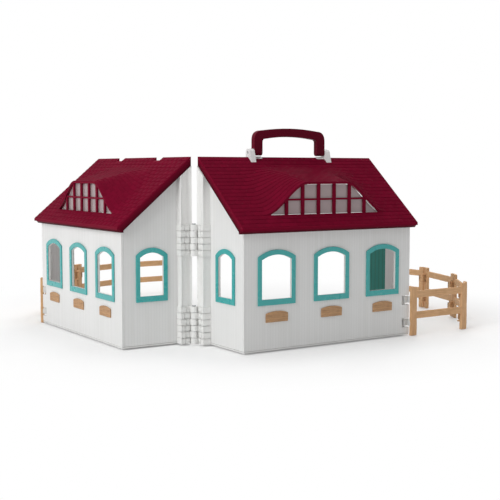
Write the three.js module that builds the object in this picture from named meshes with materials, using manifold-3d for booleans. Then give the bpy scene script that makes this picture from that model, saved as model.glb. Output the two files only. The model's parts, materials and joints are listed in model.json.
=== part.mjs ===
// Toy stable that opens like a book: two mirror-image half-houses on one upright corner hinge.
// Millimetres, +Z up. The hinge axis is the Z axis of the drawing: the right half runs from it
// along +X and the left half along +Y, so the stable stands opened to a right angle. Every piece
// of a half is drawn for the right half and swapped across the diagonal for the left one. The
// finished group is moved so that the middle of its footprint stands on the origin.
import * as THREE from 'three';
import { mergeVertices } from 'three/addons/utils/BufferGeometryUtils.js';
import Module from 'manifold-3d';

const wasm = await Module();
wasm.setup();

// One half-house
const houseLength = 300; // outside of one gable to outside of the other
const halfWidth = 106.5; // mid-plane of the closed house to the outside of the long wall
const ridgeHeight = 272; // table to the ridge
const roofPitchDegrees = 40.2;
const wall = 3;
const floorThickness = 4;
const midGap = 0.3; // each half stops this far short of the mid-plane
const fit = 0.3; // gap between two pieces that sit on each other
const overrun = 2; // how far a cutting solid runs past what it cuts

// Corner hinge: a column on the rear gable of each half, with stone courses that interlock
const hingeToGable = 17; // hinge axis to the outside of the rear gable
const columnStandOff = 5; // hinge axis to the flat front of the column
const columnWidth = 18;
const stoneCourse = 9.2; // height of one course
const stoneJoint = 0.7; // groove between two stones
const stoneRelief = 1.2; // how far a stone stands proud of the column
const knuckleRadius = 4.6;
const knuckleBore = 2;
const hingePinRadius = 1.6;
const hingePinHeadRadius = 3;
const hingePinHeadHeight = 1.4;
const lowerCourseStart = 1.5; // table to the lowest course
const upperCourseShare = 0.47426; // start of the upper courses, of the ridge height
const lowerCourseCount = 6;
const upperCourseCount = 5;
const stoneSplitShares = [0.42, 0.64, 0.36, 0.55, 0.47, 0.6]; // where the upright joint falls
const stoneSplitShift = 3; // places along that list between the two columns

// Roof shell
const nearOverhang = 8; // past the rear gable, at the hinge
const farOverhang = 6.8; // past the front gable
const eaveOverhang = 10;
const roofSkin = 3;
const rimDepth = 9.8; // turned-down edge, square to the slope
const ridgeRib = 4;

// Eyebrow dormer: a hood that swells out of the slope, with an outline that falls in an S from a
// flat crown to the slope
const dormerSillDrop = 82; // ridge to the foot of the panes
const dormerRise = 42.5;
const dormerCrown = 35; // half the flat top
const dormerSpread = 105; // half the width where the S runs out
const dormerOpening = 97.5; // half the width of the opening at the sill
const dormerSkin = 3.2;
const hoodStart = 18; // mid-plane to where the hood leaves the slope
const hoodSpread = 110; // half the width where its outside runs out
const hoodStepCount = 5; // facets from its start to its edge
const dormerStepCount = 14; // facets of one S
const dormerRecess = 1.5; // hood edge to the glazing bars
const barDepth = 2.5;
const barWidth = 7.5;
const barSpacing = 28.1;
const barPairCount = 3;
const crossBarRise = 21; // sill to the middle of the cross bar
const crossBarWidth = 4;
const barRoot = 1.6; // how far the bars run into the hood and the sill
const paneThickness = 1.2;
const paneFit = 0.4;

// Windows with a flat segmental arch
const windowWidth = 63.3;
const gableWindowWidth = 50.3;
const windowFootShare = 0.36154; // heights as shares of the wall height
const windowTopShare = 0.78462;
const windowArchRise = 9.8;
const gableWindowArchRise = 10.4;
const windowSpacingShare = 0.31967; // of the house length
const gableWindowCentre = 59.5; // mid-plane to the middle of the window
const frameSide = 6.4;
const frameSill = 8.2;
const frameHead = 7;
const frameFlange = 1.6; // thickness that shows outside the wall
const frameRebate = 3; // how far the flange laps over the wall
const frameReveal = 0.2; // how far the sleeve stands into the room

// Name plaques under the windows of the long wall
const plaqueWidth = 37.3;
const plaqueFootShare = 0.22967; // heights as shares of the wall height
const plaqueTopShare = 0.31319;
const plaqueArchRise = 3;
const plaqueThickness = 1.6;

// Front doorway and its leaf
const doorJamb = 54; // mid-plane to the hinged side of the doorway
const doorCrownShare = 0.55147; // top of the arch at the mid-plane, of the ridge height
const doorArchDrop = 12; // how much lower the arch is at the jamb
const doorThickness = 3;
const doorClearance = 0.7;
const doorPinOut = 2.6; // outside of the gable to the axis of the door pins
const doorPinRadius = 1;
const doorPinBore = 1.35;
const doorBarrelRadius = 2.3;
const doorBarrelHeight = 8;
const doorLugHeight = 4;
const doorLugReach = 4.3;
const doorHingeShares = [0.21333, 0.74667]; // of the height of the doorway
const leftDoorOpenDegrees = 90; // the left leaf stands open

// Carrying handle on the right ridge
const handleHalfWidth = 65;
const handleLegWidth = 14.6;
const handleDepth = 9;
const handleRise = 43; // ridge to the crown of the grip
const handleGrip = 12.6;
const handleCrown = 3.5; // how much the grip arches
const handleShoulder = 15; // radius of the outer corners
const handleArmpit = 5; // radius of the inner corners
const pivotRise = 6.4; // ridge to the pivot axis
const pivotPinRadius = 1.8;
const pivotPinBore = 2.15;
const pivotPinDepth = 7; // how far a pin goes into the leg
const earThickness = 8.8;
const earRadius = 6;
const earSkirt = 10; // how far the ear reaches down the slope
const earHook = 4; // how far the ear drops behind the ridge
const saddleHeight = 0.8;
const saddleReach = 3.5;
const saddleBack = 3;
const earSetback = 0.4; // pin end to the outer face of the ear

// Notches in the left ridge that take the ears when the house is closed
const notchWidth = 21.2;
const notchMargin = 1.5; // how far a notch runs past the outer face of its ear
const notchDrop = 4.8;
const notchDepth = 8.5;

// Fence panels and the pins they clip to
const postSpacing = 107;
const postWidth = 11;
const postHeight = 74.5;
const postThickness = 5;
const postOut = 9; // clip axis to the middle plane of the panel
const postAlong = 11.5; // clip axis to the middle of the first post
const railThickness = 3.6;
const railWidth = 10.7;
const railHeights = [31, 63];
const clipHeights = [20, 55];
const clipHeight = 10;
const clipOuter = 3.3;
const clipInner = 2;
const clipMouthDegrees = 50; // half the mouth of the C
const clipArm = 3.6;
const clipPinRadius = 1.6;
const clipPinBore = 1.9;
const clipPinOffset = 6.7; // middle plane of a panel to the pin on its last post
const clipEarThickness = 2;
const clipEarGap = 13; // clear height between the two ears of a pin
const clipEarWidth = 6;
const cornerNotch = 14; // square notch in the wall corner, as tall as it is wide
const cornerPinInset = 5.5; // outer faces of the corner to the pin
const cornerPinSeat = 2.5; // how far the pin runs into the post above and below
const cornerPost = 10;
const cornerPostHeight = 74;
const rightTurns = [0.5, 53, 18, 23]; // degrees that each panel turns from the one before
const leftTurns = [25, 23.6, 19.4, 21];

// Facets
const curveFacets = 5; // halves of an arc, or steps of a free curve
const handleFacets = 8;
const cylinderFacets = 12;
const mergeDistance = 1e-4;

// Derived places of the right half
const roofPitch = THREE.MathUtils.degToRad(roofPitchDegrees);
const roofFall = Math.tan(roofPitch);
const skinDrop = roofSkin / Math.cos(roofPitch);
const rimDrop = rimDepth / Math.cos(roofPitch);
const fitDrop = fit / Math.cos(roofPitch);
const eave = halfWidth + eaveOverhang;
const farFace = hingeToGable + houseLength;
const middle = hingeToGable + houseLength / 2;
const roofStart = hingeToGable - nearOverhang;
const roofEnd = farFace + farOverhang;
const ridgeMiddle = (roofStart + roofEnd) / 2;
const wallFoot = floorThickness + fit;
const dormerSill = ridgeHeight - dormerSillDrop;
const dormerFace = dormerSillDrop / roofFall; // mid-plane to the plane of the hood edge
const wallHeight = ridgeHeight - roofFall * halfWidth; // table to the slope above the outside of the wall
const windowFoot = wallHeight * windowFootShare;
const windowTop = wallHeight * windowTopShare;
const windowSpacing = houseLength * windowSpacingShare;
const plaqueFoot = wallHeight * plaqueFootShare;
const plaqueTop = wallHeight * plaqueTopShare;
const crossBarHeight = dormerSill + crossBarRise;
const doorCrown = ridgeHeight * doorCrownShare;
const doorHingeHeights = doorHingeShares.map((share) => doorCrown * share);
const upperCourseStart = ridgeHeight * upperCourseShare;
const earEnd = handleHalfWidth + fit + earThickness; // middle of the ridge to the outer face of an ear
const notchInner = earEnd + notchMargin - notchWidth;
const clipAxis = { x: farFace - cornerPinInset, y: cornerPinInset - halfWidth };
const doorAxis = { x: farFace + doorPinOut, y: -doorJamb - fit };

// Materials
const plastic = (color, roughness = 0.5) =>
  new THREE.MeshStandardMaterial({ color, roughness, metalness: 0 });
const whitePlastic = plastic(0xe4e4e2);
const stonePlastic = plastic(0xdcdcda, 0.6);
const redPlastic = plastic(0x7a1730, 0.55);
const aquaPlastic = plastic(0x57b5b0, 0.45);
const tanPlastic = plastic(0xc69565, 0.6);
const doorPlastic = plastic(0x3f7f77, 0.5);
const smokedPlastic = plastic(0x8c8684, 0.35);
const pinMetal = new THREE.MeshStandardMaterial({ color: 0xb9bbbd, roughness: 0.35, metalness: 1 });

const unitX = new THREE.Vector3(1, 0, 0);
const unitY = new THREE.Vector3(0, 1, 0);
const unitZ = new THREE.Vector3(0, 0, 1);

function outline(points) {
  const shape = new THREE.Shape();
  shape.moveTo(points[0][0], points[0][1]);
  points.slice(1).forEach(([a, b]) => shape.lineTo(a, b));
  shape.closePath();
  return shape;
}

function extrude(shape, depth, curveSegments = curveFacets, steps = 1) {
  return new THREE.ExtrudeGeometry(shape, { depth, bevelEnabled: false, curveSegments, steps });
}

// An outline in the y, z plane, run from x0 to x1
function runAlongX(shape, x0, x1) {
  const geometry = extrude(shape, x1 - x0);
  geometry.applyMatrix4(new THREE.Matrix4().makeBasis(unitY, unitZ, unitX));
  return geometry.translate(x0, 0, 0);
}

// An outline in the x, z plane, run from y0 to y1
function runAlongY(shape, y0, y1, curveSegments = curveFacets, steps = 1) {
  const geometry = extrude(shape, y1 - y0, curveSegments, steps);
  geometry.applyMatrix4(new THREE.Matrix4().makeBasis(unitX, unitZ, unitY.clone().negate()));
  return geometry.translate(0, y1, 0);
}

// An outline in the x, y plane, run from z0 to z1
function runAlongZ(shape, z0, z1) {
  return extrude(shape, z1 - z0).translate(0, 0, z0);
}

function box(x0, x1, y0, y1, z0, z1) {
  const geometry = new THREE.BoxGeometry(x1 - x0, y1 - y0, z1 - z0);
  return geometry.translate((x0 + x1) / 2, (y0 + y1) / 2, (z0 + z1) / 2);
}

function uprightCylinder(radius, x, y, z0, z1) {
  const geometry = new THREE.CylinderGeometry(radius, radius, z1 - z0, cylinderFacets);
  return geometry.rotateX(Math.PI / 2).translate(x, y, (z0 + z1) / 2);
}

function levelCylinder(radius, x0, x1, y, z) {
  const geometry = new THREE.CylinderGeometry(radius, radius, x1 - x0, cylinderFacets);
  return geometry.rotateZ(-Math.PI / 2).translate((x0 + x1) / 2, y, z);
}

function solid(geometry) {
  const bare = geometry.clone();
  bare.deleteAttribute('normal');
  bare.deleteAttribute('uv');
  const merged = mergeVertices(bare, mergeDistance);
  const vertProperties = new Float32Array(merged.attributes.position.array);
  const triVerts = new Uint32Array(merged.index.array);
  const mesh = new wasm.Mesh({ numProp: 3, vertProperties, triVerts });
  mesh.merge();
  return new wasm.Manifold(mesh);
}

function skin(manifold) {
  const mesh = manifold.getMesh();
  const geometry = new THREE.BufferGeometry();
  geometry.setAttribute('position', new THREE.BufferAttribute(new Float32Array(mesh.vertProperties), 3));
  geometry.setIndex(new THREE.BufferAttribute(new Uint32Array(mesh.triVerts), 1));
  geometry.computeVertexNormals();
  return geometry;
}

const joined = (geometries) => geometries.map(solid).reduce((sum, next) => sum.add(next));
const without = (body, geometries) => geometries.map(solid).reduce((rest, next) => rest.subtract(next), body);

// Swapping x and y mirrors a piece of the right half onto the left one
function acrossDiagonal(geometry) {
  const swapped = geometry.index ? geometry.clone() : mergeVertices(geometry.clone());
  const position = swapped.attributes.position;
  for (let i = 0; i < position.count; i += 1) {
    position.setXY(i, position.getY(i), position.getX(i));
  }
  const index = swapped.index.array;
  for (let i = 0; i < index.length; i += 3) {
    [index[i + 1], index[i + 2]] = [index[i + 2], index[i + 1]];
  }
  swapped.computeVertexNormals();
  return swapped;
}

function addPiece(parent, name, geometry, material) {
  const mesh = new THREE.Mesh(geometry, material.clone());
  mesh.name = name;
  parent.add(mesh);
  return mesh;
}

// An upright opening with a segmental arch, in a plane with z up
function arch(centre, foot, width, top, radius) {
  const half = width / 2;
  const spring = Math.acos(half / radius);
  const shape = new THREE.Shape();
  shape.moveTo(centre - half, foot);
  shape.lineTo(centre + half, foot);
  shape.absarc(centre, top - radius, radius, spring, Math.PI - spring, false);
  shape.closePath();
  return shape;
}

const archRadius = (width, rise) => (width * width / 4 + rise * rise) / (2 * rise);
const roofTop = (t) => ridgeHeight - roofFall * t;

// A window by its centre line, the outlines of its frame, and the hole that it needs
function windowOutlines(centre, width, rise) {
  const radius = archRadius(width, rise);
  const inset = (side, foot, head) =>
    arch(centre, windowFoot + foot, width - 2 * side, windowTop - head, radius - head);
  const rim = inset(0, 0, 0);
  const sleeve = inset(frameRebate, frameRebate, frameRebate);
  const opening = inset(frameSide, frameSill, frameHead);
  rim.holes.push(opening);
  sleeve.holes.push(opening);
  const sleeveSpace = frameRebate - fit;
  return { rim, sleeve, hole: inset(sleeveSpace, sleeveSpace, sleeveSpace) };
}

const windowPlaces = {
  near: middle - windowSpacing,
  middle,
  far: middle + windowSpacing,
};

function longWindowFrame(centre) {
  const { rim, sleeve } = windowOutlines(centre, windowWidth, windowArchRise);
  const outside = -halfWidth - fit;
  return skin(joined([
    runAlongY(rim, outside - frameFlange, outside),
    runAlongY(sleeve, outside - frameFlange, wall + frameReveal - halfWidth),
  ]));
}

function gableWindowFrame() {
  const { rim, sleeve } = windowOutlines(-gableWindowCentre, gableWindowWidth, gableWindowArchRise);
  const outside = hingeToGable - fit;
  return skin(joined([
    runAlongX(rim, outside - frameFlange, outside),
    runAlongX(sleeve, outside - frameFlange, hingeToGable + wall + frameReveal),
  ]));
}

function plaque(centre) {
  const shape = arch(centre, plaqueFoot, plaqueWidth, plaqueTop, archRadius(plaqueWidth, plaqueArchRise));
  const outside = -halfWidth - fit;
  return runAlongY(shape, outside - plaqueThickness, outside);
}

const floorPlate = () => box(hingeToGable, farFace, -halfWidth, -midGap, 0, floorThickness);

// The square notches at the far corner leave room for the clips of the first fence panel
function cornerNotches() {
  return clipHeights.map((height) => box(
    farFace - cornerNotch, farFace + overrun,
    -halfWidth - overrun, cornerNotch - halfWidth,
    height - cornerNotch / 2, height + cornerNotch / 2,
  ));
}

const cornerPinEnds = (height) => {
  const reach = cornerNotch / 2 + cornerPinSeat;
  return [height - reach, height + reach];
};

function longWall() {
  const top = roofTop(halfWidth) - skinDrop - fitDrop;
  const inside = wall - halfWidth;
  const sheet = box(hingeToGable, farFace, -halfWidth, inside, wallFoot, top);
  const postEnd = farFace - wall - fit;
  const post = box(postEnd - cornerPost, postEnd, -halfWidth, inside + cornerPost, wallFoot, cornerPostHeight);
  const holes = Object.values(windowPlaces).map((centre) => runAlongY(
    windowOutlines(centre, windowWidth, windowArchRise).hole,
    -halfWidth - overrun, inside + overrun,
  ));
  const bores = clipHeights.map((height) =>
    uprightCylinder(clipPinBore, clipAxis.x, clipAxis.y, ...cornerPinEnds(height)));
  return skin(without(joined([sheet, post]), [...holes, ...cornerNotches(), ...bores]));
}

function cornerPin(height) {
  const [low, high] = cornerPinEnds(height);
  return uprightCylinder(clipPinRadius, clipAxis.x, clipAxis.y, low + fit, high - fit);
}

// Both gables follow the underside of the roof skin
function gableSheet(x0, x1) {
  const outer = halfWidth - wall - fit;
  const top = (t) => roofTop(t) - skinDrop - fitDrop;
  const shape = outline([
    [-midGap, wallFoot], [-midGap, top(midGap)], [-outer, top(outer)], [-outer, wallFoot],
  ]);
  return runAlongX(shape, x0, x1);
}

function rearGable() {
  const { hole } = windowOutlines(-gableWindowCentre, gableWindowWidth, gableWindowArchRise);
  const sheet = solid(gableSheet(hingeToGable, hingeToGable + wall));
  return skin(without(sheet, [runAlongX(hole, hingeToGable - overrun, hingeToGable + wall + overrun)]));
}

// The doorway of the closed house is one segmental arch; each half holds one side of it
const doorArchRadius = (doorJamb * doorJamb + doorArchDrop * doorArchDrop) / (2 * doorArchDrop);

function doorShape(nearSide, farSide, foot, crown) {
  const centre = crown - doorArchRadius;
  const height = (t) => centre + Math.sqrt(doorArchRadius * doorArchRadius - t * t);
  const points = [[-nearSide, foot]];
  for (let i = 0; i <= curveFacets; i += 1) {
    const t = nearSide + (farSide - nearSide) * i / curveFacets;
    points.push([-t, height(t)]);
  }
  points.push([-farSide, foot]);
  return outline(points);
}

const doorBarrelSpan = (height) => [height - doorBarrelHeight / 2, height + doorBarrelHeight / 2];

function doorLug(low, high) {
  const arm = box(farFace - wall, doorAxis.x, doorAxis.y - doorLugReach, doorAxis.y, low, high);
  return [arm, uprightCylinder(doorBarrelRadius, doorAxis.x, doorAxis.y, low, high)];
}

function frontGable() {
  const sheet = solid(gableSheet(farFace - wall, farFace));
  const doorway = runAlongX(
    doorShape(0, doorJamb, 0, doorCrown), farFace - wall - overrun, farFace + overrun,
  );
  const lugs = doorHingeHeights.flatMap((height) => {
    const [low, high] = doorBarrelSpan(height);
    return [
      ...doorLug(low - fit - doorLugHeight, low - fit),
      ...doorLug(high + fit, high + fit + doorLugHeight),
    ];
  });
  const bore = uprightCylinder(doorPinBore, doorAxis.x, doorAxis.y, 0, doorCrown);
  const body = without(sheet, [doorway, ...cornerNotches()]);
  return skin(without(body.add(joined(lugs)), [bore]));
}

// The leaf is drawn about its own pin axis
function doorLeaf() {
  const shape = doorShape(
    midGap + doorClearance / 2, doorJamb - doorClearance,
    wallFoot + doorClearance, doorCrown - doorClearance,
  );
  const leaf = runAlongX(shape, farFace - doorThickness, farFace);
  const barrels = doorHingeHeights.flatMap((height) => {
    const [low, high] = doorBarrelSpan(height);
    const arm = box(farFace - doorThickness, doorAxis.x, doorAxis.y, doorAxis.y + doorLugReach, low, high);
    return [arm, uprightCylinder(doorBarrelRadius, doorAxis.x, doorAxis.y, low, high)];
  });
  // the arms of the barrels pass the jamb only outside the gable
  const jamb = box(
    farFace - wall - overrun, farFace + fit, doorAxis.y - overrun, doorClearance - doorJamb, 0, doorCrown,
  );
  const bore = uprightCylinder(doorPinBore, doorAxis.x, doorAxis.y, 0, doorCrown);
  return skin(without(joined([leaf, ...barrels]), [jamb, bore])).translate(-doorAxis.x, -doorAxis.y, 0);
}

function doorPin(height) {
  const [low, high] = doorBarrelSpan(height);
  const reach = fit + doorLugHeight;
  return uprightCylinder(doorPinRadius, doorAxis.x, doorAxis.y, low - reach, high + reach);
}

// Rise of the dormer's S at a distance s from its middle
function sCurve(s, rise, spread) {
  const share = THREE.MathUtils.clamp((Math.abs(s) - dormerCrown) / (spread - dormerCrown), 0, 1);
  return rise * (1 - THREE.MathUtils.smoothstep(share, 0, 1));
}

const openingRise = (s) => sCurve(s, dormerRise, dormerSpread);
const hoodRise = (s) => sCurve(s, dormerRise + dormerSkin, hoodSpread);

// An outline from -reach to reach under the S, closed along a level foot
function dormerOutline(reach, heightAt, foot) {
  const points = [[ridgeMiddle - reach, foot]];
  const steps = [];
  for (let i = 0; i <= dormerStepCount; i += 1) {
    steps.push(dormerCrown + (reach - dormerCrown) * i / dormerStepCount);
  }
  [...steps].reverse().forEach((s) => points.push([ridgeMiddle - s, heightAt(s)]));
  steps.forEach((s) => points.push([ridgeMiddle + s, heightAt(s)]));
  points.push([ridgeMiddle + reach, foot]);
  return outline(points);
}

// Lays a run of an outline on the slope, where its heights grow from nothing at the hood's start
function layOnSlope(geometry, drop) {
  const position = geometry.attributes.position;
  for (let i = 0; i < position.count; i += 1) {
    const t = -position.getY(i);
    const share = (t - hoodStart) / (dormerFace - hoodStart);
    const height = position.getZ(i);
    position.setZ(i, roofTop(t) - drop + Math.min(height, 0) + Math.max(height, 0) * share);
  }
  return geometry;
}

function glazingBars() {
  const front = dormerRecess - dormerFace;
  const uprights = [];
  for (let i = 0; i < barPairCount; i += 1) {
    const s = barSpacing * (i + 1 / 2);
    [-s, s].forEach((place) => uprights.push(box(
      ridgeMiddle + place - barWidth / 2, ridgeMiddle + place + barWidth / 2,
      front, front + barDepth, dormerSill - barRoot, dormerSill + dormerRise + barRoot,
    )));
  }
  const cross = box(
    ridgeMiddle - dormerSpread, ridgeMiddle + dormerSpread, front, front + barDepth,
    crossBarHeight - crossBarWidth / 2, crossBarHeight + crossBarWidth / 2,
  );
  const window = dormerOutline(
    dormerOpening + barRoot, (s) => dormerSill + openingRise(s) + barRoot, dormerSill - barRoot,
  );
  return joined([...uprights, cross]).intersect(solid(runAlongY(window, -eave, 0)));
}

function roof(hasNotches) {
  const slope = (t, drop) => [-t, roofTop(t) - drop];
  const tipIn = rimDepth * Math.sin(roofPitch);
  const tipDown = rimDepth * Math.cos(roofPitch);
  const tip = [tipIn - eave, roofTop(eave) - tipDown];
  const lap = halfWidth + fit;
  const skinShape = outline([slope(midGap, 0), slope(midGap, skinDrop), slope(eave, skinDrop), slope(eave, 0)]);
  const rakeShape = outline([slope(midGap, 0), slope(midGap, rimDrop), tip, slope(eave, 0)]);
  const eaveShape = outline([slope(lap, 0), [-lap, tip[1]], tip, slope(eave, 0)]);
  const ribShape = outline([
    slope(midGap, 0), slope(midGap, rimDrop),
    [-midGap - ridgeRib, roofTop(midGap) - rimDrop], slope(midGap + ridgeRib, 0),
  ]);
  const room = wall + fit;
  const shell = [
    runAlongX(skinShape, roofStart, roofEnd),
    runAlongX(rakeShape, roofStart, hingeToGable - fit),
    runAlongX(rakeShape, farFace + fit, roofEnd),
    runAlongX(eaveShape, roofStart, roofEnd),
    runAlongX(ribShape, hingeToGable + room, farFace - room),
  ];

  const hood = layOnSlope(runAlongY(
    dormerOutline(hoodSpread, hoodRise, -skinDrop / 2),
    -dormerFace, -hoodStart, curveFacets, hoodStepCount,
  ), 0);
  const hollow = layOnSlope(runAlongY(
    dormerOutline(dormerOpening, (s) => openingRise(s) + dormerSkin, dormerSkin - skinDrop - overrun),
    -dormerFace - overrun, -hoodStart, curveFacets, hoodStepCount,
  ), dormerSkin);
  const aboveSill = box(roofStart, roofEnd, -eave, 0, dormerSill, ridgeHeight);
  let body = joined([...shell, hood]).subtract(solid(hollow).intersect(solid(aboveSill))).add(glazingBars());

  if (hasNotches) {
    const notch = (x) => box(x, x + notchWidth, -notchDepth, overrun, ridgeHeight - notchDrop, ridgeHeight + overrun);
    body = without(body, [
      notch(ridgeMiddle + notchInner), notch(ridgeMiddle - notchInner - notchWidth),
    ]);
  }
  return skin(body);
}

function dormerPane() {
  const front = dormerRecess + barDepth + fit - dormerFace;
  const shape = dormerOutline(
    dormerOpening - paneFit, (s) => dormerSill + openingRise(s) - paneFit, dormerSill + paneFit,
  );
  return runAlongY(shape, front, front + paneThickness);
}

// Courses of one column: even courses carry the knuckles of the right half, odd ones of the left
const courses = [
  ...Array.from({ length: lowerCourseCount }, (_, i) => ({ foot: lowerCourseStart + stoneCourse * i, i })),
  ...Array.from({ length: upperCourseCount }, (_, i) => ({ foot: upperCourseStart + stoneCourse * i, i })),
];

function hingeColumn(parity) {
  const back = hingeToGable - fit;
  const top = (t) => roofTop(t) - rimDrop - fitDrop;
  const shaft = runAlongX(outline([
    [-midGap, 0], [-midGap, top(midGap)], [-columnWidth, top(columnWidth)], [-columnWidth, 0],
  ]), columnStandOff, back);
  const front = columnStandOff - stoneRelief;
  const bed = stoneJoint / 2;
  const stones = courses.flatMap(({ foot, i }) => {
    const low = foot + bed;
    const high = foot + stoneCourse - bed;
    const inner = knuckleRadius + stoneRelief;
    const share = stoneSplitShares[(i + parity * stoneSplitShift) % stoneSplitShares.length];
    const split = inner + (columnWidth - inner) * share;
    const row = [
      box(front, back, bed - split, -inner, low, high),
      box(front, back, -columnWidth - stoneRelief, -split - bed, low, high),
    ];
    if (i % 2 === parity) {
      row.push(box(0, columnStandOff + fit, -knuckleRadius, -midGap, low, high));
      row.push(uprightCylinder(knuckleRadius, 0, 0, low, high));
    }
    return row;
  });
  const bores = [
    uprightCylinder(knuckleBore, 0, 0, -overrun, lowerCourseStart + stoneCourse * lowerCourseCount + overrun),
    uprightCylinder(knuckleBore, 0, 0, upperCourseStart - overrun, ridgeHeight),
  ];
  return skin(without(joined([shaft, ...stones]), bores));
}

function hingePin(start, count) {
  const top = start + stoneCourse * count - stoneJoint / 2 + fit;
  return skin(joined([
    uprightCylinder(hingePinRadius, 0, 0, start + stoneJoint, top + hingePinHeadHeight / 2),
    uprightCylinder(hingePinHeadRadius, 0, 0, top, top + hingePinHeadHeight),
  ]));
}

// A U with a gently arched grip, round feet on the pivot axis, drawn about that axis
function carryingHandle() {
  const foot = handleDepth / 2;
  const top = handleRise - pivotRise;
  const outer = handleHalfWidth;
  const inner = outer - handleLegWidth;
  const shoulderTop = top - handleCrown;
  const shape = new THREE.Shape();
  shape.moveTo(-outer, 0);
  shape.lineTo(-inner, 0);
  shape.lineTo(-inner, shoulderTop - handleGrip - handleArmpit);
  shape.quadraticCurveTo(-inner, shoulderTop - handleGrip, handleArmpit - inner, shoulderTop - handleGrip);
  shape.quadraticCurveTo(0, top - handleGrip + handleCrown, inner - handleArmpit, shoulderTop - handleGrip);
  shape.quadraticCurveTo(inner, shoulderTop - handleGrip, inner, shoulderTop - handleGrip - handleArmpit);
  shape.lineTo(inner, 0);
  shape.lineTo(outer, 0);
  shape.lineTo(outer, shoulderTop - handleShoulder);
  shape.quadraticCurveTo(outer, shoulderTop, outer - handleShoulder, shoulderTop);
  shape.quadraticCurveTo(0, top + handleCrown, handleShoulder - outer, shoulderTop);
  shape.quadraticCurveTo(-outer, shoulderTop, -outer, shoulderTop - handleShoulder);
  shape.closePath();
  const feet = [[-outer, -inner], [inner, outer]].map(([x0, x1]) => levelCylinder(foot, x0, x1, 0, 0));
  const bores = [-1, 1].map((end) => {
    const [a, b] = [end * (outer + overrun), end * (outer - pivotPinDepth)];
    return levelCylinder(pivotPinBore, Math.min(a, b), Math.max(a, b), 0, 0);
  });
  return skin(without(joined([runAlongY(shape, -foot, foot, handleFacets), ...feet]), bores));
}

// An ear that hooks over the ridge, with a thin saddle under the foot of the handle
function handleEar(end) {
  const near = handleHalfWidth + fit;
  const span = (a, b) => [ridgeMiddle + Math.min(end * a, end * b), ridgeMiddle + Math.max(end * a, end * b)];
  const pivot = ridgeHeight + pivotRise;
  const [x0, x1] = span(near, earEnd);
  const back = earRadius - fit;
  const cheek = outline([
    [-earSkirt, roofTop(earSkirt)], [-earRadius, pivot], [back, pivot],
    [back, ridgeHeight - earHook / 2], [back - earHook / 2, ridgeHeight - earHook],
    [0, ridgeHeight - earHook],
  ]);
  const [s0, s1] = span(handleHalfWidth - handleLegWidth, earEnd);
  const saddle = outline([
    [-saddleReach, roofTop(saddleReach)], [-saddleReach, roofTop(saddleReach) + saddleHeight],
    [0, ridgeHeight + saddleHeight], [saddleBack, ridgeHeight + saddleHeight],
    [saddleBack, ridgeHeight + fit], [0, ridgeHeight + fit],
  ]);
  const underSlope = outline([
    [0, ridgeHeight + fitDrop], [-eave, roofTop(eave) + fitDrop], [-eave, 0], [0, 0],
  ]);
  const bore = levelCylinder(pivotPinBore, x0 - overrun, x1 + overrun, 0, pivot);
  return skin(without(
    joined([
      runAlongX(cheek, x0, x1), levelCylinder(earRadius, x0, x1, 0, pivot), runAlongX(saddle, s0, s1),
    ]),
    [runAlongX(underSlope, roofStart, roofEnd), bore],
  ));
}

function handlePin(end) {
  const inner = handleHalfWidth - pivotPinDepth + fit;
  const outer = earEnd - earSetback;
  const x0 = ridgeMiddle + Math.min(end * inner, end * outer);
  const x1 = ridgeMiddle + Math.max(end * inner, end * outer);
  return levelCylinder(pivotPinRadius, x0, x1, 0, ridgeHeight + pivotRise);
}

// A fence panel about its clip axis: x along the panel, -y to its outer face
function fencePanel() {
  const outerFace = -postOut - postThickness / 2;
  const innerFace = postThickness / 2 - postOut;
  const lastPost = postAlong + postSpacing;
  const posts = [postAlong, lastPost].map((x) =>
    box(x - postWidth / 2, x + postWidth / 2, outerFace, innerFace, 0, postHeight));
  const rails = railHeights.map((z) => box(
    postAlong, lastPost, -postOut - railThickness / 2, railThickness / 2 - postOut,
    z - railWidth / 2, z + railWidth / 2,
  ));
  const mouth = THREE.MathUtils.degToRad(clipMouthDegrees);
  const ring = new THREE.Shape();
  ring.absarc(0, 0, clipOuter, mouth - Math.PI, Math.PI - mouth, false);
  ring.absarc(0, 0, clipInner, Math.PI - mouth, mouth - Math.PI, true);
  ring.closePath();
  const armEdge = clipArm / 2;
  const firstEdge = postAlong - postWidth / 2;
  const clips = clipHeights.flatMap((z) => {
    const [low, high] = [z - clipHeight / 2, z + clipHeight / 2];
    return [
      runAlongZ(ring, low, high),
      box((clipInner + clipOuter) / 2, firstEdge + clipArm, -armEdge, armEdge, low, high),
      box(firstEdge, firstEdge + clipArm, innerFace - armEdge, armEdge, low, high),
    ];
  });
  const pinY = clipPinOffset - postOut;
  const ears = clipHeights.flatMap((z) => [-1, 1].map((side) => {
    const middleOfEar = z + side * (clipEarGap + clipEarThickness) / 2;
    return box(
      lastPost - clipEarWidth / 2, lastPost + clipEarWidth / 2, innerFace - armEdge, pinY + clipEarWidth / 2,
      middleOfEar - clipEarThickness / 2, middleOfEar + clipEarThickness / 2,
    );
  }));
  const pins = clipHeights.map((z) => {
    const reach = (clipEarGap + clipEarThickness) / 2;
    return uprightCylinder(clipPinRadius, lastPost, pinY, z - reach, z + reach);
  });
  return skin(joined([...posts, ...rails, ...clips, ...ears, ...pins]));
}

function addFence(parent, side, turns) {
  const place = side === 'left' ? (x, y) => [y, x] : (x, y) => [x, y];
  const turnSense = side === 'left' ? -1 : 1;
  const drawn = fencePanel();
  let carrier = parent;
  turns.forEach((turn, i) => {
    const link = new THREE.Group();
    const [x, y] = i === 0 ? place(clipAxis.x, clipAxis.y) : place(postAlong + postSpacing, clipPinOffset - postOut);
    link.position.set(x, y, 0);
    link.rotation.z = turnSense * THREE.MathUtils.degToRad(turn);
    const panel = side === 'left' ? acrossDiagonal(drawn) : drawn;
    addPiece(link, `fence_${side}_${i + 1}`, panel, tanPlastic);
    carrier.add(link);
    carrier = link;
  });
}

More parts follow.
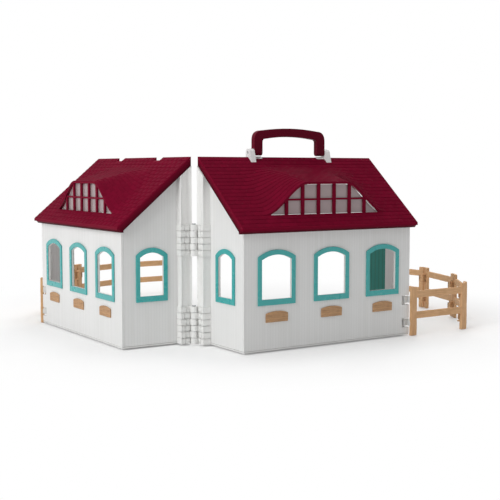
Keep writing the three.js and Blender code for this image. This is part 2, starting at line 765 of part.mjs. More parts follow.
function addHalf(parent, side) {
  const isLeft = side === 'left';
  const toSide = isLeft ? acrossDiagonal : (geometry) => geometry;
  const half = new THREE.Group();
  const add = (name, geometry, material) => addPiece(half, `${side}_${name}`, toSide(geometry), material);
  add('floor', floorPlate(), whitePlastic);
  add('long_wall', longWall(), whitePlastic);
  add('rear_gable', rearGable(), whitePlastic);
  add('front_gable', frontGable(), whitePlastic);
  add('roof', roof(isLeft), redPlastic);
  add('dormer_pane', dormerPane(), smokedPlastic);
  Object.entries(windowPlaces).forEach(([place, centre]) => {
    add(`window_${place}`, longWindowFrame(centre), aquaPlastic);
    add(`plaque_${place}`, plaque(centre), tanPlastic);
  });
  add('gable_window', gableWindowFrame(), aquaPlastic);
  add('hinge_column', hingeColumn(isLeft ? 1 : 0), stonePlastic);
  ['lower', 'upper'].forEach((level, i) => {
    add(`door_pin_${level}`, doorPin(doorHingeHeights[i]), pinMetal);
    add(`clip_pin_${level}`, cornerPin(clipHeights[i]), whitePlastic);
  });
  const hanging = new THREE.Group();
  hanging.position.set(...(isLeft ? [doorAxis.y, doorAxis.x] : [doorAxis.x, doorAxis.y]), 0);
  hanging.rotation.z = isLeft ? THREE.MathUtils.degToRad(leftDoorOpenDegrees) : 0;
  addPiece(hanging, `${side}_door`, toSide(doorLeaf()), doorPlastic);
  half.add(hanging);
  parent.add(half);
}

const stable = new THREE.Group();
addHalf(stable, 'right');
addHalf(stable, 'left');
addPiece(stable, 'lower_hinge_pin', hingePin(lowerCourseStart, lowerCourseCount), pinMetal);
addPiece(stable, 'upper_hinge_pin', hingePin(upperCourseStart, upperCourseCount), pinMetal);
const handle = addPiece(stable, 'carrying_handle', carryingHandle(), redPlastic);
handle.position.set(ridgeMiddle, 0, ridgeHeight + pivotRise);
Object.entries({ near: -1, far: 1 }).forEach(([name, end]) => {
  addPiece(stable, `handle_ear_${name}`, handleEar(end), whitePlastic);
  addPiece(stable, `handle_pin_${name}`, handlePin(end), pinMetal);
});
addFence(stable, 'right', rightTurns);
addFence(stable, 'left', leftTurns);

// The middle of the footprint stands on the origin
stable.updateMatrixWorld(true);
const reach = new THREE.Box3().setFromObject(stable, true);
stable.position.set(-(reach.min.x + reach.max.x) / 2, -(reach.min.y + reach.max.y) / 2, -reach.min.z);

export default stable;
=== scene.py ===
import json
import math
import random

import bpy
import numpy as np
from mathutils import Matrix, Vector, noise


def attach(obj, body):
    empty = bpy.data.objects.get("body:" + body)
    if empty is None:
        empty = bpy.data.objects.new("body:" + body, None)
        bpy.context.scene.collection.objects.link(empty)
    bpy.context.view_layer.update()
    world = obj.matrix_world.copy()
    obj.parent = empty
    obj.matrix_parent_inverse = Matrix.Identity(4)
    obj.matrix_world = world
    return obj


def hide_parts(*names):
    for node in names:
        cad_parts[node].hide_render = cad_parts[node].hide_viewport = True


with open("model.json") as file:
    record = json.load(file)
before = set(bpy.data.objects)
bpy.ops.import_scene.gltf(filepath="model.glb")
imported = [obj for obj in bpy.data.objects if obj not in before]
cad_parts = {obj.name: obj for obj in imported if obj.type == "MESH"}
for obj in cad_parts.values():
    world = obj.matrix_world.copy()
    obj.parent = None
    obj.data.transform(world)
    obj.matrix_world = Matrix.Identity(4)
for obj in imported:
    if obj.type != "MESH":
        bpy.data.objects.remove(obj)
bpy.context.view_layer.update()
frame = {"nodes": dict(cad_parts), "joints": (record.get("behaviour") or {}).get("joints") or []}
mm = 0.001
# from the corner hinge the right half runs along X and the left half, its mirror image, along Y
hinge = Vector(next(joint["pos_m"] for joint in frame["joints"] if joint["name"] == "corner_hinge"))
swapAxes = Matrix(((0, 1, 0, 0), (1, 0, 0, 0), (0, 0, 1, 0), (0, 0, 0, 1)))
sides = ("right", "left")
turnedTo = 0.9  # a face is turned to an axis when its normal has this share along it
print("frame loaded:", len(frame["nodes"]), "nodes")


# helpers

def linear(hexColor):
    # sRGB hex to the linear colour that a shader takes
    parts = [int(hexColor[i:i + 2], 16) / 255 for i in (1, 3, 5)]
    return tuple(c / 12.92 if c <= 0.04045 else ((c + 0.055) / 1.055) ** 2.4 for c in parts) + (1.0,)


def scaleFor(size):
    # the scale of a pattern that repeats about every size mm
    return 1 / (size * mm)


def addNode(tree, kind, inputs=None, **settings):
    made = tree.nodes.new(kind)
    for name, value in settings.items():
        setattr(made, name, value)
    for socket, value in (inputs or {}).items():
        if isinstance(value, bpy.types.NodeSocket):
            tree.links.new(value, made.inputs[socket])
        else:
            made.inputs[socket].default_value = value
    return made


def newMaterial(name, attribute=None):
    # a material with one node, the place that its patterns read: the object's own or an attribute
    material = bpy.data.materials.new(name)
    material.use_nodes = True
    tree = material.node_tree
    tree.nodes.clear()
    if attribute:
        place = addNode(tree, "ShaderNodeAttribute", attribute_name=attribute).outputs["Vector"]
    else:
        place = addNode(tree, "ShaderNodeTexCoord").outputs["Object"]
    return material, tree, place


def deselect():
    if bpy.context.object and bpy.context.object.mode != "OBJECT":
        bpy.ops.object.mode_set(mode="OBJECT")
    bpy.ops.object.select_all(action="DESELECT")


def activate(piece):
    deselect()
    piece.select_set(True)
    bpy.context.view_layer.objects.active = piece


def selectAll():
    bpy.ops.mesh.select_all(action="SELECT")


def edit(piece):
    # into edit mode, with everything selected
    activate(piece)
    bpy.ops.object.mode_set(mode="EDIT")
    selectAll()


def leaveEdit():
    bpy.ops.object.mode_set(mode="OBJECT")


def pickFaces(piece, test):
    # selects, in edit mode, the faces whose centre and normal pass the test
    bpy.ops.mesh.select_all(action="DESELECT")
    leaveEdit()
    for face in piece.data.polygons:
        face.select = test(face.center, face.normal)
    bpy.ops.object.mode_set(mode="EDIT")


def cutAcross(axis, place):
    # cuts the whole mesh, in edit mode, across an axis at a place in mm
    normal = [1.0 if i == axis else 0.0 for i in range(3)]
    selectAll()
    bpy.ops.mesh.bisect(plane_co=[n * place * mm for n in normal], plane_no=normal)


def pull(x, y, z):
    # extrudes what is selected, in edit mode, by so many mm
    bpy.ops.mesh.extrude_region_move(TRANSFORM_OT_translate={"value": (x * mm, y * mm, z * mm)})


def faceOutwards():
    # turns all faces outwards and leaves edit mode
    selectAll()
    bpy.ops.mesh.normals_make_consistent(inside=False)
    leaveEdit()


def settle(piece):
    # puts the place, turn and size of the object into its mesh
    activate(piece)
    bpy.ops.object.transform_apply(location=True, rotation=True, scale=True)


def roundEdges(piece, width, segments=2, angle=30):
    activate(piece)
    bevel = piece.modifiers.new("edges", "BEVEL")
    bevel.width, bevel.segments = width * mm, segments
    bevel.limit_method, bevel.angle_limit = "ANGLE", math.radians(angle)
    bevel.harden_normals = True
    bpy.ops.object.shade_smooth_by_angle(angle=math.radians(40))
    bpy.ops.object.modifier_apply(modifier=bevel.name)


def uneven(x, y, z, size):
    # smooth noise about zero, its lumps as large as size in mm
    return noise.noise(Vector((x, y, z)) / size)


def cornersOf(piece):
    # places in mm and normals of all corners, read at once
    places, normals = (np.empty(len(piece.data.vertices) * 3, np.float32) for _ in range(2))
    piece.data.vertices.foreach_get("co", places)
    piece.data.vertices.foreach_get("normal", normals)
    return places.reshape(-1, 3) / mm, normals.reshape(-1, 3)


def placeCorners(piece, places):
    piece.data.vertices.foreach_set("co", (places * mm).astype(np.float32).ravel())
    piece.data.update()


def shadeAgain(piece, angle=40):
    # forgets the normals kept by the bevel, so that the shading follows the moved faces
    activate(piece)
    bpy.ops.mesh.customdata_custom_splitnormals_clear()
    bpy.ops.object.shade_smooth_by_angle(angle=math.radians(angle))


def copyOf(piece, name):
    twin = piece.copy()
    twin.data = piece.data.copy()
    twin.name = name
    bpy.context.scene.collection.objects.link(twin)
    return twin


def toHalf(piece, side):
    # from the drawing of the right half to its place, or across the diagonal to the left half
    piece.data.transform(Matrix.Translation(hinge) @ (swapAxes if side == "left" else Matrix()))
    if side == "left":
        edit(piece)
        bpy.ops.mesh.flip_normals()
        leaveEdit()
    return piece


def shift(x, y):
    # a move by so many mm
    return Matrix.Translation(Vector((x, y, 0)) * mm)


def placed(drawn, name, matrix, side):
    # a copy of a drawn piece, moved to its place on a half
    piece = copyOf(drawn, name)
    piece.data.transform(matrix)
    return toHalf(piece, side)


def placesOn(piece, side):
    # each corner of a piece in its place, how far it is along the ridge and out from it, and its height
    along, out = (0, 1) if side == "right" else (1, 0)
    for corner in piece.data.vertices:
        place = (corner.co - hinge) / mm
        yield corner, place[along], -place[out], place.z


def fromFrame(node, width, segments=2, keepFlat=0.5):
    # a merged copy of a frame node with its flat faces joined and its edges rounded
    first, *others = node.split("_")
    piece = copyOf(frame["nodes"][node], first + "".join(word.title() for word in others))
    piece.parent = None
    for key in list(piece.keys()):
        if key.startswith("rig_"):
            del piece[key]
    edit(piece)
    bpy.ops.mesh.remove_doubles(threshold=0.005 * mm)
    bpy.ops.mesh.dissolve_limited(angle_limit=math.radians(keepFlat))
    leaveEdit()
    if width:
        roundEdges(piece, width, segments)
    return piece


def dress(piece, material, body, slot, *nodes):
    piece.data.materials.clear()
    piece.data.materials.append(material)
    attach(piece, body)
    if nodes:
        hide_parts(*nodes)


def dressNode(node, material, body, slot, width, segments=2):
    dress(fromFrame(node, width, segments), material, body, slot, node)


# materials

absIor = 1.53


def plankGrooves(tree, place, along, facts):
    # the number of planks so far along an axis, and a profile: 1 on a plank, 0 in the groove beside it
    parts = addNode(tree, "ShaderNodeSeparateXYZ", {0: place})
    count = addNode(tree, "ShaderNodeMath", {0: parts.outputs[along], 1: scaleFor(facts["pitch"])},
        operation="MULTIPLY")
    across = addNode(tree, "ShaderNodeMath", {0: count.outputs[0]}, operation="FRACT")
    fromMiddle = addNode(tree, "ShaderNodeMath", {0: across.outputs[0], 1: 0.5}, operation="SUBTRACT")
    distance = addNode(tree, "ShaderNodeMath", {0: fromMiddle.outputs[0]}, operation="ABSOLUTE")
    plank = addNode(tree, "ShaderNodeMapRange",
        {"Value": distance.outputs[0], "From Min": 0.5 - facts["grooveWidth"] / facts["pitch"],
         "From Max": 0.5, "To Min": 1.0, "To Max": 0.0}, interpolation_type="SMOOTHSTEP")
    return count.outputs[0], plank.outputs[0]


def sparkGrain(tree, place, facts, more):
    # the fine even grain that a spark-eroded mould leaves
    spark = addNode(tree, "ShaderNodeTexNoise",
        {"Vector": place, "Scale": scaleFor(facts["spark"]), "Detail": 1.0})
    return addNode(tree, "ShaderNodeBump",
        {"Height": spark.outputs["Fac"], "Distance": facts["sparkDepth"] * mm, **more})


def streaks(tree, place, sizes, more):
    # noise drawn out to these sizes in mm along X, Y and Z
    scales = [scaleFor(size) for size in sizes]
    stretch = addNode(tree, "ShaderNodeMapping", {"Vector": place, "Scale": scales})
    streak = addNode(tree, "ShaderNodeTexNoise", {"Vector": stretch.outputs[0], "Scale": 1.0, **more})
    return streak.outputs["Fac"]


def closeSatin(tree, color, wander, low, high, bump, more):
    # the end of each material: a roughness that wanders from low to high, the shader and the output
    satin = addNode(tree, "ShaderNodeMapRange", {"Value": wander, "To Min": low, "To Max": high})
    shader = addNode(tree, "ShaderNodeBsdfPrincipled",
        {"Base Color": color.outputs["Result"], "Roughness": satin.outputs[0],
         "Normal": bump.outputs[0], **more})
    addNode(tree, "ShaderNodeOutputMaterial", {"Surface": shader.outputs[0]})


def plankedWhiteAbs(name, along):
    # injection-moulded ABS, satin: upright planks are pressed into the mould, and their grooves
    # carry a thin painted shade; the spark-eroded steel leaves a fine even grain
    facts = {"base": "#e6e6e5", "deeper": "#dededc", "cloudy": "#eaeae9", "groove": "#e0e0df", "pitch": 4.5,
             "grooveWidth": 0.6, "grooveDepth": 0.15, "cloud": 60, "spark": 0.35, "sparkDepth": 0.05}
    material, tree, place = newMaterial(name)
    count, plank = plankGrooves(tree, place, along, facts)
    number = addNode(tree, "ShaderNodeMath", {0: count}, operation="FLOOR")
    tone = addNode(tree, "ShaderNodeTexWhiteNoise", {"W": number.outputs[0]}, noise_dimensions="1D")
    flow = addNode(tree, "ShaderNodeTexNoise",
        {"Vector": place, "Scale": scaleFor(facts["cloud"]), "Detail": 2.0}).outputs["Fac"]
    plain = addNode(tree, "ShaderNodeMix",
        {"A": linear(facts["base"]), "B": linear(facts["deeper"]), "Factor": tone.outputs["Value"]},
        data_type="RGBA")
    cloudy = addNode(tree, "ShaderNodeMix",
        {"A": plain.outputs["Result"], "B": linear(facts["cloudy"]), "Factor": flow}, data_type="RGBA")
    # painted shade: the grooves are coloured darker
    color = addNode(tree, "ShaderNodeMix",
        {"A": linear(facts["groove"]), "B": cloudy.outputs["Result"], "Factor": plank}, data_type="RGBA")
    cut = addNode(tree, "ShaderNodeBump",
        {"Height": plank, "Strength": 0.3, "Distance": facts["grooveDepth"] * mm})
    grain = sparkGrain(tree, place, facts, {"Strength": 0.12, "Normal": cut.outputs[0]})
    closeSatin(tree, color, flow, 0.42, 0.54, grain, {"IOR": absIor})
    return material


def grainedAbs(name, base, shade, roughness, specular=0.5, strength=0.18, rim=None):
    # plain moulded ABS: one colour all through, a spark-eroded grain and faint flow marks; a rim colour, if
    # given, is painted shade on a turned-down rim
    facts = {"swirl": 25, "spark": 0.35, "sparkDepth": 0.08, "smoother": 0.05, "rougher": 0.07}
    material, tree, place = newMaterial(name)
    flow = addNode(tree, "ShaderNodeTexNoise",
        {"Vector": place, "Scale": scaleFor(facts["swirl"]), "Detail": 3.0}).outputs["Fac"]
    color = addNode(tree, "ShaderNodeMix", {"A": linear(base), "B": linear(shade), "Factor": flow},
        data_type="RGBA")
    if rim:  # painted shade: darker towards the foot of a turned-down rim
        down = addNode(tree, "ShaderNodeAttribute", attribute_name="rim")
        color = addNode(tree, "ShaderNodeMix",
            {"A": color.outputs["Result"], "B": linear(rim), "Factor": down.outputs["Fac"]}, data_type="RGBA")
    grain = sparkGrain(tree, place, facts, {"Strength": strength})
    closeSatin(tree, color, flow, roughness - facts["smoother"], roughness + facts["rougher"], grain,
               {"IOR": absIor, "Specular IOR Level": specular})
    return material


def dressedStoneAbs(name):
    # white ABS moulded to look like dressed stone: pitted faces, matt, with painted shade in the pits
    facts = {"base": "#f3f3f1", "pit": "#e6e6e4", "pitSize": 2.2, "pitDepth": 0.35, "chip": 3.5,
             "chipDepth": 0.3}
    material, tree, place = newMaterial(name)
    pits = addNode(tree, "ShaderNodeTexNoise",
        {"Vector": place, "Scale": scaleFor(facts["pitSize"]), "Detail": 5.0,
         "Roughness": 0.65}).outputs["Fac"]
    chips = addNode(tree, "ShaderNodeTexVoronoi", {"Vector": place, "Scale": scaleFor(facts["chip"])})
    # painted shade: the low parts of the pits are coloured darker
    color = addNode(tree, "ShaderNodeMix",
        {"A": linear(facts["pit"]), "B": linear(facts["base"]), "Factor": pits}, data_type="RGBA")
    rough = addNode(tree, "ShaderNodeBump",
        {"Height": pits, "Strength": 0.5, "Distance": facts["pitDepth"] * mm})
    hewn = addNode(tree, "ShaderNodeBump",
        {"Height": chips.outputs["Distance"], "Strength": 0.25, "Distance": facts["chipDepth"] * mm,
         "Normal": rough.outputs[0]})
    closeSatin(tree, color, pits, 0.5, 0.7, hewn, {"IOR": absIor})
    return material


def redShingleAbs(name):
    # dark red ABS with moulded shingles: each one has its own tone, and its lower edge is painted paler, a
    # painted highlight where it catches the light
    facts = {"base": "#720c28", "dark": "#6a0b25", "edgeHighlight": "#7a1f35", "highlightShare": 0.12, "highlightFrom": 0.86,
             "specular": 0.006, "fibre": 1.6, "fibreDepth": 0.25, "spark": 0.35, "sparkDepth": 0.06}
    material, tree, place = newMaterial(name)
    tab = addNode(tree, "ShaderNodeAttribute", attribute_name="shingle")
    tone = addNode(tree, "ShaderNodeSeparateXYZ", {0: tab.outputs["Vector"]})
    fibre = addNode(tree, "ShaderNodeTexNoise",
        {"Vector": place, "Scale": scaleFor(facts["fibre"]), "Detail": 4.0}).outputs["Fac"]
    body = addNode(tree, "ShaderNodeMix",
        {"A": linear(facts["base"]), "B": linear(facts["dark"]), "Factor": tone.outputs["X"]},
        data_type="RGBA")
    # painted highlight: paler towards the lower edge of each shingle
    edge = addNode(tree, "ShaderNodeMapRange",
        {"Value": tone.outputs["Y"], "From Min": facts["highlightFrom"], "From Max": 1.0,
         "To Max": facts["highlightShare"]}, interpolation_type="SMOOTHSTEP")
    color = addNode(tree, "ShaderNodeMix",
        {"A": body.outputs["Result"], "B": linear(facts["edgeHighlight"]), "Factor": edge.outputs[0]},
        data_type="RGBA")
    split = addNode(tree, "ShaderNodeBump",
        {"Height": fibre, "Strength": 0.3, "Distance": facts["fibreDepth"] * mm})
    grain = sparkGrain(tree, place, facts, {"Strength": 0.15, "Normal": split.outputs[0]})
    closeSatin(tree, color, fibre, 0.44, 0.6, grain, {"IOR": absIor, "Specular IOR Level": facts["specular"]})
    return material


def tanWoodLookAbs(name, base, dark, cloudy):
    # tan ABS moulded with a wood grain: streaks 1 mm apart run the length of each board, a little sunk
    facts = {"streak": 1.1, "length": 26, "knot": 14, "streakDepth": 0.25}
    material, tree, board = newMaterial(name, "board")  # X runs along the board
    streak = streaks(tree, board, (facts["length"], facts["streak"], facts["streak"]),
        {"Detail": 4.0, "Roughness": 0.6, "Distortion": 0.4})
    cloud = addNode(tree, "ShaderNodeTexNoise",
        {"Vector": board, "Scale": scaleFor(facts["knot"]), "Detail": 2.0})
    lines = addNode(tree, "ShaderNodeMapRange", {"Value": streak, "From Min": 0.35, "From Max": 0.62},
        interpolation_type="SMOOTHSTEP").outputs[0]
    wood = addNode(tree, "ShaderNodeMix", {"A": linear(dark), "B": linear(base), "Factor": lines},
        data_type="RGBA")
    color = addNode(tree, "ShaderNodeMix",
        {"A": wood.outputs["Result"], "B": linear(cloudy), "Factor": cloud.outputs["Fac"]}, data_type="RGBA")
    sunk = addNode(tree, "ShaderNodeBump",
        {"Height": lines, "Strength": 0.4, "Distance": facts["streakDepth"] * mm})
    closeSatin(tree, color, streak, 0.5, 0.68, sunk, {"IOR": absIor})
    return material


def tealDoorAbs(name, along):
    # teal ABS leaf with moulded planks, wider than those of the walls, and upright streaks like wood; its
    # grooves carry a painted shade
    facts = {"base": "#3c968a", "deeper": "#34877b", "groove": "#2a665d", "pitch": 9.0, "grooveWidth": 0.9,
             "grooveDepth": 0.5, "streak": 1.4, "length": 30, "streakDepth": 0.2, "specular": 0.2}
    material, tree, place = newMaterial(name)
    _, plank = plankGrooves(tree, place, along, facts)
    streak = streaks(tree, place, (facts["streak"], facts["streak"], facts["length"]), {"Detail": 4.0})
    wood = addNode(tree, "ShaderNodeMix",
        {"A": linear(facts["base"]), "B": linear(facts["deeper"]), "Factor": streak}, data_type="RGBA")
    # painted shade: the grooves are coloured darker
    color = addNode(tree, "ShaderNodeMix",
        {"A": linear(facts["groove"]), "B": wood.outputs["Result"], "Factor": plank}, data_type="RGBA")
    fibre = addNode(tree, "ShaderNodeBump",
        {"Height": streak, "Strength": 0.25, "Distance": facts["streakDepth"] * mm})
    cut = addNode(tree, "ShaderNodeBump",
        {"Height": plank, "Strength": 0.6, "Distance": facts["grooveDepth"] * mm,
         "Normal": fibre.outputs[0]})
    closeSatin(tree, color, streak, 0.42, 0.55, cut, {"IOR": absIor, "Specular IOR Level": facts["specular"]})
    return material


def smokedPolystyrene(name):
    # smoked clear polystyrene sheet with a matt back: it lets some light through and blurs what is behind
    facts = {"tint": "#b8a4a5", "hazy": "#ac9b9c", "haze": 18, "spark": 0.5, "sparkDepth": 0.05}
    material, tree, place = newMaterial(name)
    haze = addNode(tree, "ShaderNodeTexNoise",
        {"Vector": place, "Scale": scaleFor(facts["haze"]), "Detail": 3.0}).outputs["Fac"]
    color = addNode(tree, "ShaderNodeMix",
        {"A": linear(facts["tint"]), "B": linear(facts["hazy"]), "Factor": haze}, data_type="RGBA")
    grain = sparkGrain(tree, place, facts, {"Strength": 0.1})
    closeSatin(tree, color, haze, 0.16, 0.3, grain, {"IOR": 1.59, "Transmission Weight": 0.27})
    return material


def drawnSteelWire(name):
    # bright drawn steel: fine lines run the length of the pin
    facts = {"bright": "#b9bbbd", "dull": "#9fa1a3", "line": 0.25, "length": 8, "lineDepth": 0.03}
    material, tree, place = newMaterial(name)
    lines = streaks(tree, place, (facts["line"], facts["line"], facts["length"]), {"Detail": 3.0})
    color = addNode(tree, "ShaderNodeMix",
        {"A": linear(facts["bright"]), "B": linear(facts["dull"]), "Factor": lines}, data_type="RGBA")
    drawn = addNode(tree, "ShaderNodeBump",
        {"Height": lines, "Strength": 0.2, "Distance": facts["lineDepth"] * mm})
    closeSatin(tree, color, lines, 0.22, 0.42, drawn, {"Metallic": 1.0})
    return material


wallFinish = {axis: plankedWhiteAbs(f"planked white ABS along {axis}", axis) for axis in "XY"}
plainWhite = grainedAbs("satin white ABS", "#e6e6e4", "#dcdcda", 0.46)
earWhite = grainedAbs("ear white ABS", "#f4f3f3", "#ecebeb", 0.4)
stoneWhite = dressedStoneAbs("stone-look white ABS")
# the rim colour is painted shade, darkening the foot of the roof's turned-down rim
roofRed = grainedAbs("satin dark red ABS", "#7a0c2a", "#740b28", 0.5, 0.02, rim="#420b18")
handleRed = grainedAbs("smooth dark red ABS", "#660923", "#5d081f", 0.36, 0.04, strength=0.08)
shingleRed = redShingleAbs("shingled dark red ABS")
frameAqua = grainedAbs("satin aqua ABS", "#3aacaa", "#36a4a2", 0.27)
fenceTan = tanWoodLookAbs("wood-look tan ABS", "#d7a576", "#b0824f", "#dcb184")
plaqueTan = tanWoodLookAbs("wood-look plaque ABS", "#c09266", "#7d5835", "#c49a70")
doorTeal = tealDoorAbs("planked teal ABS", "Y")  # at rest both leaves run along Y
paneSmoked = smokedPolystyrene("smoked polystyrene")
pinSteel = drawnSteelWire("drawn steel wire")
print("materials made")


# walls, gables, floors and columns: the frame's own shapes, with moulded edges

shell = {"edge": 0.45, "footGap": 1.7, "footBack": 6.0}
# each column has two stacks of stones, from foot to top; they swell between their beds and are hewn uneven
stones = {"edge": 0.7, "stacks": ((1.5, 56.7), (129.0, 175.0)), "course": 9.2,
          "courseCuts": (0.9, 2.2, 4.6, 7.0, 8.3), "cut": 3.0, "swell": 1.5, "swellReach": 3.8,
          "knuckleReach": 5.2, "outFrom": 0.3, "hewn": 0.75, "mean": 0.45, "lump": 6, "chip": 2.4,
          "chipShare": 0.45, "chipPlace": 50, "smoothAngle": 50}


def bedDepth(z):
    # how far the face of a stone falls back towards the beds above and below it
    for low, high in stones["stacks"]:
        if low <= z <= high:
            up = (z - low) % stones["course"]
            share = max(1 - min(up, stones["course"] - up) / stones["swellReach"], 0)
            return stones["swell"] * share * share
    return 0


def hewStones(piece, side):
    # the courses are cut small, then the outer faces of the stones are sunk by uneven depths
    for corner in piece.data.vertices:  # the column hangs just clear of the table
        corner.co.z = max(corner.co.z, shell["footGap"] * mm)
    roundEdges(piece, stones["edge"])
    places, _ = cornersOf(piece)
    cut = stones["cut"]
    edit(piece)
    for low, high in stones["stacks"]:
        for bed in np.arange(low, high - 1, stones["course"]):
            for up in stones["courseCuts"]:
                cutAcross(2, bed + up)
    for axis in (0, 1):
        for place in np.arange(places[:, axis].min() + cut / 2, places[:, axis].max(), cut):
            cutAcross(axis, place)
    leaveEdit()
    places, normals = cornersOf(piece)
    gableAxis = 0 if side == "right" else 1
    for i, (x, y, z) in enumerate(places):
        fromHinge = math.hypot(x - hinge.x / mm, y - hinge.y / mm)
        outward = max(-normals[i][0], -normals[i][1], 0)
        if fromHinge > stones["knuckleReach"] and outward > stones["outFrom"]:
            chips = uneven(x + stones["chipPlace"], y, z, stones["chip"])
            depth = stones["mean"] + uneven(x, y, z, stones["lump"]) + stones["chipShare"] * chips
            alongGable = max(-normals[i][gableAxis], 0)  # the beds show on this face alone
            places[i] -= normals[i] * (outward * stones["hewn"] * max(depth, 0) + alongGable * bedDepth(z))
    placeCorners(piece, places)
    shadeAgain(piece, stones["smoothAngle"])


for side in sides:
    body = side + "_half"
    run, cross = "XY" if side == "right" else "YX"
    for wall, axis in (("long_wall", run), ("rear_gable", cross), ("front_gable", cross)):
        dressNode(f"{side}_{wall}", wallFinish[axis], body, "white_wall", shell["edge"])
    floor = fromFrame(f"{side}_floor", 0)
    edit(floor)
    # the plate stands on a foot set back from its edge, so a thin shadow runs under the walls
    pickFaces(floor, lambda c, n: c.z < 0.1 * mm and n.z < -turnedTo)
    bpy.ops.transform.translate(value=(0, 0, shell["footGap"] * mm))
    bpy.ops.mesh.inset(thickness=shell["footBack"] * mm)
    pull(0, 0, -shell["footGap"])
    leaveEdit()
    roundEdges(floor, shell["edge"])
    dress(floor, plainWhite, body, "white_wall", f"{side}_floor")
    column = fromFrame(f"{side}_hinge_column", 0)
    hewStones(column, side)
    dress(column, stoneWhite, body, "white_stone", f"{side}_hinge_column")
print("walls and columns dressed")


# window frames: a grid stood up, its top rows bent to the arch, the opening deleted and the rest extruded

windowFrame = {"width": 63.3, "foot": 65.8, "top": 142.8, "rise": 9.8, "lap": 3.0, "side": 6.4,
               "sill": 8.2, "head": 7.0, "flange": 1.6, "seam": 0.05, "depth": 5.1, "edge": 0.45,
               "gap": 0.3, "archSteps": 20}
gableFrame = dict(windowFrame, width=50.3, rise=10.4)
outside = {"longWall": -106.5, "gable": 17.0}  # outer faces of the right half's walls
windowMiddles = {"near": 167 - 95.9, "middle": 167.0, "far": 167 + 95.9}
gableMiddle = -59.5


def archHeight(facts, x, inset):
    # height of the arch, or of a line inside it, at x across from the middle
    radius = (facts["width"] ** 2 / 4 + facts["rise"] ** 2) / (2 * facts["rise"])
    reach = min(abs(x), facts["width"] / 2 - min(inset, facts["width"] / 4))
    return facts["top"] - radius + math.sqrt((radius - inset) ** 2 - reach ** 2)


def flatGrid(name, columns, rows):
    deselect()
    bpy.ops.mesh.primitive_grid_add(x_subdivisions=len(columns) - 1, y_subdivisions=len(rows) - 1, size=2)
    piece = bpy.context.object
    piece.name = name
    return piece


def standingGrid(name, columns, rows):
    # columns are places across; each row gives the height at a place across
    piece = flatGrid(name, columns, rows)
    for corner in piece.data.vertices:
        column = round((corner.co.x + 1) / 2 * (len(columns) - 1))
        row = round((corner.co.y + 1) / 2 * (len(rows) - 1))
        corner.co = (columns[column] * mm, 0, rows[row](columns[column]) * mm)
    return piece


def archedRing(name, facts, isLining):
    # the rim lies on the wall; the lining runs on behind it through the hole
    half, lap, side = facts["width"] / 2, facts["lap"], facts["side"]
    inner = list(np.linspace(-(half - side), half - side, facts["archSteps"]))
    rows = [lambda x, up=up: facts["foot"] + up for up in (0, lap, facts["sill"])]
    rows += [lambda x, inset=inset: archHeight(facts, x, inset) for inset in (facts["head"], lap, 0)]
    piece = standingGrid(name, [-half, -(half - lap)] + inner + [half - lap, half], rows)
    edit(piece)

    def isInside(c, width, low, inset):
        top = archHeight(facts, c.x / mm, inset)
        return abs(c.x) < width * mm and (facts["foot"] + low) * mm < c.z < top * mm

    pickFaces(piece, lambda c, n: isInside(c, half - side, facts["sill"], facts["head"]))
    bpy.ops.mesh.delete(type="FACE")
    if isLining:  # a step of its own: picked together, the two parts would take the ring between them along
        pickFaces(piece, lambda c, n: not isInside(c, half - lap, lap, lap))
        bpy.ops.mesh.delete(type="FACE")
    selectAll()
    start, end = (facts["flange"] + facts["seam"], facts["depth"]) if isLining else (0, facts["flange"])
    bpy.ops.transform.translate(value=(0, start * mm, 0))
    pull(0, end - start, 0)
    faceOutwards()
    roundEdges(piece, facts["edge"], 3)
    return piece


for isLining in (False, True):
    part, finish, slot = ("Lining", plainWhite, "white_wall") if isLining else ("", frameAqua, "aqua_frame")
    drawnRing = archedRing("drawnRing", windowFrame, isLining)
    drawnGableRing = archedRing("drawnGableRing", gableFrame, isLining)
    for side in sides:
        for place, middle in windowMiddles.items():
            front = outside["longWall"] - windowFrame["gap"] - windowFrame["flange"]
            piece = placed(drawnRing, f"{side}Window{place.title()}{part}", shift(middle, front), side)
            nodes = () if isLining else (f"{side}_window_{place}",)
            dress(piece, finish, f"{side}_half", slot, *nodes)
        front = outside["gable"] - gableFrame["gap"] - gableFrame["flange"]
        turned = Matrix.Rotation(-math.pi / 2, 4, "Z")  # its face turns to -X
        piece = placed(drawnGableRing, f"{side}GableWindow{part}", shift(front, gableMiddle) @ turned, side)
        nodes = () if isLining else (f"{side}_gable_window",)
        dress(piece, finish, f"{side}_half", slot, *nodes)
    for drawn in (drawnRing, drawnGableRing):
        bpy.data.objects.remove(drawn)
print("window frames made")


# name plaques, left bare: carved boards with an arched top

# a stroke is so many mm long and so many times finer across the board
plaque = {"width": 37.3, "foot": 41.8, "top": 57.0, "rise": 3.0, "thickness": 1.6, "edge": 0.4, "gap": 0.3,
          "carving": 0.55, "stroke": (9, 3.2), "fineStroke": (3.5, 2), "fineShare": 0.5, "border": 2,
          "rimWidth": 0.3, "rimWorn": 0.35, "ragged": 0.3, "raggedLump": 4, "steps": (56, 26)}


def rememberBoard(piece, lengthwise, offset=0.0):
    # keeps the place of each face corner, X along the board, for the wood grain
    grain = piece.data.attributes.new("board", "FLOAT_VECTOR", "CORNER")
    places = np.array([piece.data.vertices[loop.vertex_index].co for loop in piece.data.loops], np.float32)
    if lengthwise == "z":
        places = places[:, [2, 1, 0]]
    grain.data.foreach_set("vector", (places + np.float32(offset)).ravel())


